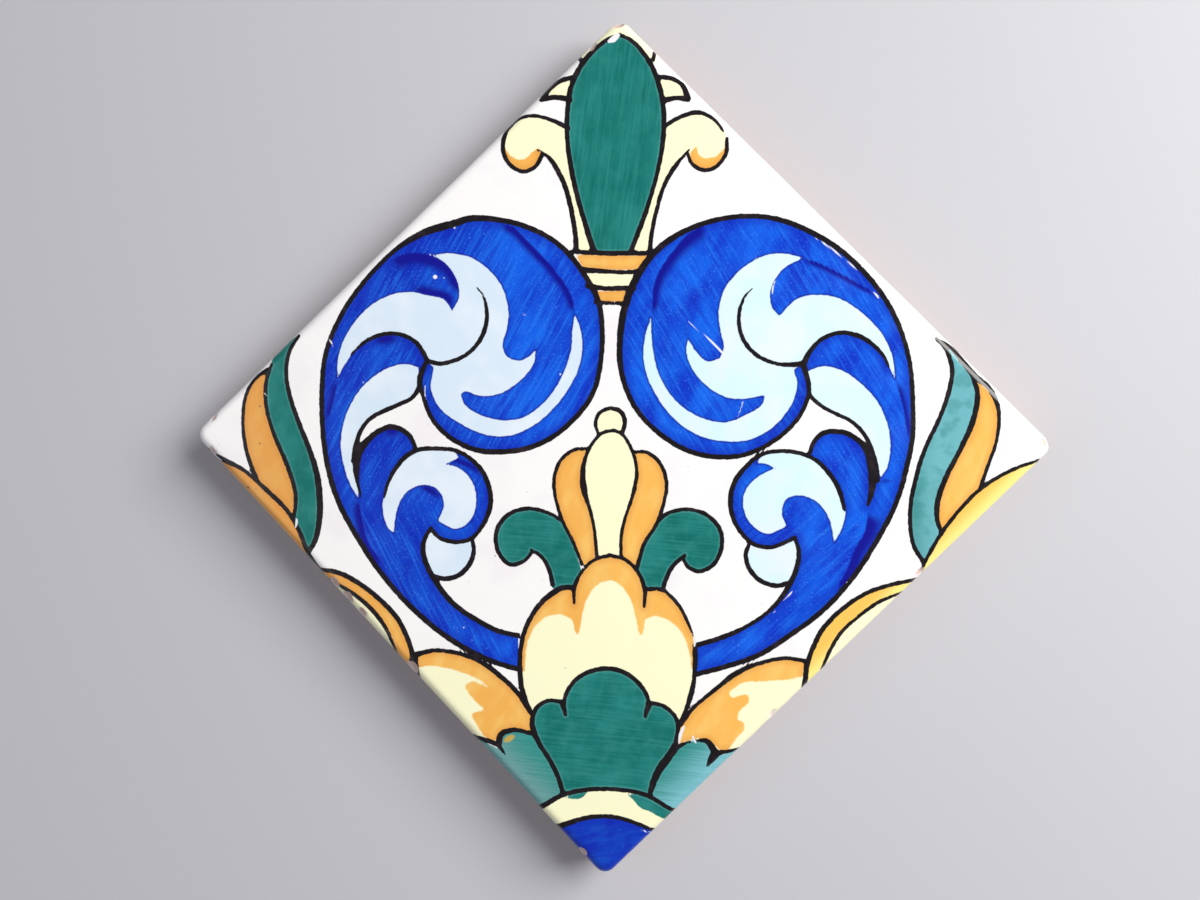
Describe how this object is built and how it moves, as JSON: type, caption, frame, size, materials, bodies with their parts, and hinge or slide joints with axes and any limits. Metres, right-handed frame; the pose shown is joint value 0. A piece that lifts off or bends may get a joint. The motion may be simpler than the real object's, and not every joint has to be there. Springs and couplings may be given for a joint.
{
  "type": "azulejo tile",
  "caption": "Square fired-clay wall tile, white glaze painted with blue scrolls, green leaves and yellow and orange petals, rolled arrises, grooved back.",
  "frame": {"origin": "middle of the bedding face, the back of the tile that the mortar holds", "axes": "+Z out of the painted face, X and Y along the tile's sides; the painted pattern is upright along the diagonal towards +X +Y"},
  "size_m": [0.14, 0.14, 0.013],
  "materials": {
    "painted_glaze": "glossy tin glaze with painted oxide colours over fired earthenware"
  },
  "bodies": {
    "root": {"azulejo_tile": "painted_glaze"}
  },
  "joints": []
}
